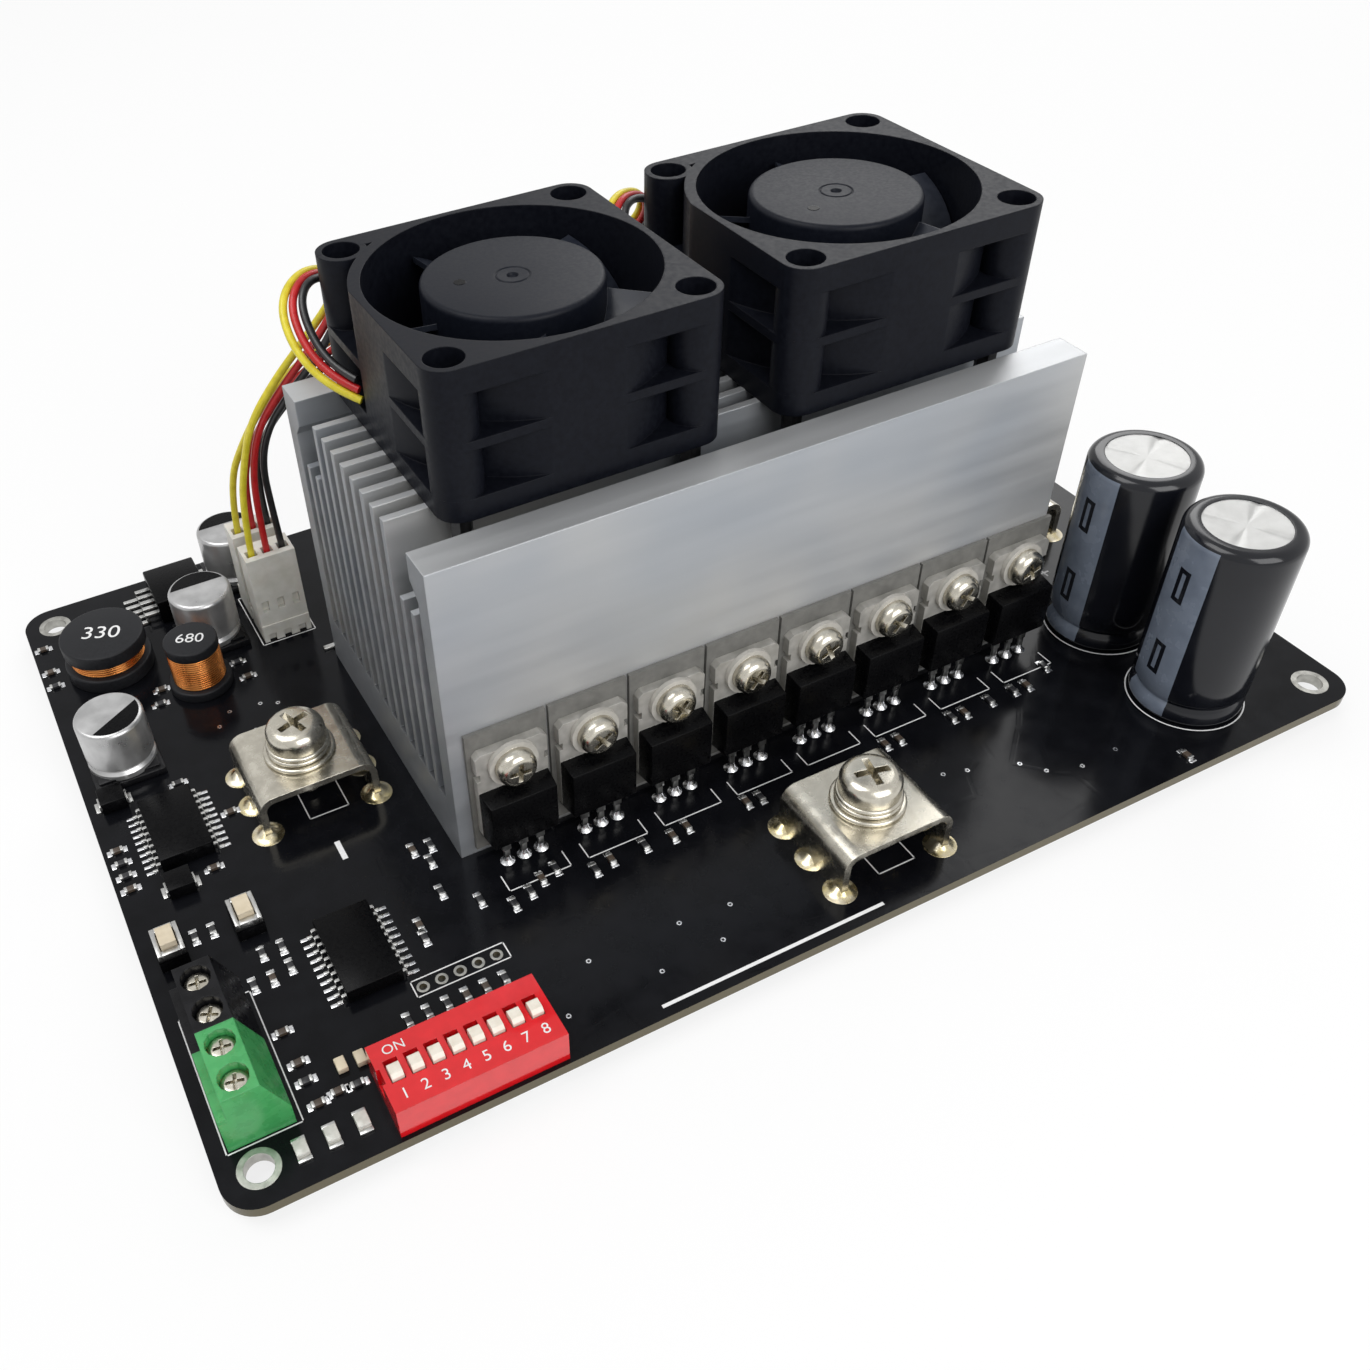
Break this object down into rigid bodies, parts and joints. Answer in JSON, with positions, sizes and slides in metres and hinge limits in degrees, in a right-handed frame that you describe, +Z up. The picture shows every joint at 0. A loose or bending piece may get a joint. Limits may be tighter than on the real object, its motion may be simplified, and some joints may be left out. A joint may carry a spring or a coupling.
{
  "type": "dc motor driver module",
  "caption": "Motor driver board with a finned heatsink between transistor rows, cooling fans on top, bolt-down power terminals, DIP switch and screw blocks.",
  "frame": {"origin": "centre of the board's outline, at the level of the longest solder tips under the board", "axes": "+X along the board's long side, away from the signal blocks; +Y from the DIP switch edge to the back; +Z up through the fans"},
  "size_m": [0.174, 0.12, 0.0715],
  "materials": {
    "solder_mask": "glossy black solder mask",
    "extrusion": "mill finish extruded aluminium",
    "fan_plastic": "black moulded plastic",
    "rotor_plastic": "black moulded plastic, satin hub",
    "dark_screw": "blackened steel",
    "stator": "wound copper",
    "transistor": "black moulding with tinned tab and leads",
    "insulator": "grey heat-conducting sheet",
    "bush": "pale nylon",
    "plated_screw": "nickel-plated steel",
    "terminal_plate": "nickel-plated folded sheet",
    "capacitor_sleeve": "black shrink sleeve, bare metal top",
    "can": "satin aluminium can on a black base",
    "ferrite": "black ferrite",
    "copper_wire": "enamelled copper wire",
    "chip_moulding": "black moulding with tinned pins",
    "button_frame": "tinned plate on a dark body",
    "button_cap": "cream plastic",
    "switch_red": "red moulded plastic",
    "block_green": "green moulded plastic",
    "block_black": "black moulded plastic",
    "header_white": "off-white nylon",
    "chip_parts": "small ceramic parts with tinned ends",
    "led_lens": "clear lens on a white foot",
    "solder": "bright solder",
    "slider_white": "off-white plastic",
    "wire_yellow": "yellow wire insulation",
    "wire_red": "red wire insulation",
    "wire_black": "black wire insulation"
  },
  "bodies": {
    "module": {"circuit_board": "solder_mask", "heatsink": "extrusion", "fan_frame_left": "fan_plastic", "fan_frame_right": "fan_plastic", "fan_screws": "dark_screw", "fan_stators": "stator", "transistors_front": "transistor", "transistors_back": "transistor", "insulating_sheets": "insulator", "tab_bushes": "bush", "tab_screws": "plated_screw", "terminal_screws": "plated_screw", "terminal_washers": "plated_screw", "terminal_spring_washers": "plated_screw", "terminal_nuts": "plated_screw", "terminal_battery_minus": "terminal_plate", "terminal_battery_plus": "terminal_plate", "terminal_motor_front": "terminal_plate", "terminal_motor_back": "terminal_plate", "capacitor_back": "capacitor_sleeve", "capacitor_front": "capacitor_sleeve", "small_cans": "can", "choke_core_wide": "ferrite", "choke_core_tall": "ferrite", "choke_windings": "copper_wire", "chip_left": "chip_moulding", "chip_front": "chip_moulding", "regulator": "chip_moulding", "diodes": "chip_moulding", "button_frames": "button_frame", "switch_housing": "switch_red", "signal_block_front": "block_green", "signal_block_back": "block_black", "block_screws": "plated_screw", "fan_headers": "header_white", "fan_plug_front": "header_white", "fan_plug_back": "header_white", "chip_parts": "chip_parts", "indicator_leds": "led_lens", "terminal_solder": "solder", "lead_solder": "solder", "wire_left_yellow": "wire_yellow", "wire_left_red": "wire_red", "wire_left_black": "wire_black", "wire_right_yellow": "wire_yellow", "wire_right_red": "wire_red", "wire_right_black": "wire_black"},
    "rotor_left": {"fan_rotor_left": "rotor_plastic"},
    "rotor_right": {"fan_rotor_right": "rotor_plastic"},
    "plunger_left": {"button_plunger_left": "button_cap"},
    "plunger_right": {"button_plunger_right": "button_cap"},
    "slider_1": {"switch_slider_1": "slider_white"},
    "slider_2": {"switch_slider_2": "slider_white"},
    "slider_3": {"switch_slider_3": "slider_white"},
    "slider_4": {"switch_slider_4": "slider_white"},
    "slider_5": {"switch_slider_5": "slider_white"},
    "slider_6": {"switch_slider_6": "slider_white"},
    "slider_7": {"switch_slider_7": "slider_white"},
    "slider_8": {"switch_slider_8": "slider_white"}
  },
  "joints": [
    {"name": "fan_left_spin", "type": "hinge", "parent": "module", "child": "rotor_left", "pos_m": [-0.0183, 0.0016, 0.0618], "axis": [0, 0, 1], "continuous": true},
    {"name": "fan_right_spin", "type": "hinge", "parent": "module", "child": "rotor_right", "pos_m": [0.0286, 0.001, 0.0618], "axis": [0, 0, 1], "continuous": true},
    {"name": "button_left_press", "type": "slide", "parent": "module", "child": "plunger_left", "axis": [0, 0, -1], "range_m": [0, 0.0003], "stiffness_N_per_m": 300},
    {"name": "button_right_press", "type": "slide", "parent": "module", "child": "plunger_right", "axis": [0, 0, -1], "range_m": [0, 0.0003], "stiffness_N_per_m": 300},
    {"name": "switch_1_slide", "type": "slide", "parent": "module", "child": "slider_1", "axis": [0, 1, 0], "range_m": [0, 0.001]},
    {"name": "switch_2_slide", "type": "slide", "parent": "module", "child": "slider_2", "axis": [0, 1, 0], "range_m": [0, 0.001]},
    {"name": "switch_3_slide", "type": "slide", "parent": "module", "child": "slider_3", "axis": [0, 1, 0], "range_m": [0, 0.001]},
    {"name": "switch_4_slide", "type": "slide", "parent": "module", "child": "slider_4", "axis": [0, 1, 0], "range_m": [0, 0.001]},
    {"name": "switch_5_slide", "type": "slide", "parent": "module", "child": "slider_5", "axis": [0, 1, 0], "range_m": [0, 0.001]},
    {"name": "switch_6_slide", "type": "slide", "parent": "module", "child": "slider_6", "axis": [0, 1, 0], "range_m": [0, 0.001]},
    {"name": "switch_7_slide", "type": "slide", "parent": "module", "child": "slider_7", "axis": [0, 1, 0], "range_m": [0, 0.001]},
    {"name": "switch_8_slide", "type": "slide", "parent": "module", "child": "slider_8", "axis": [0, 1, 0], "range_m": [0, 0.001]}
  ]
}
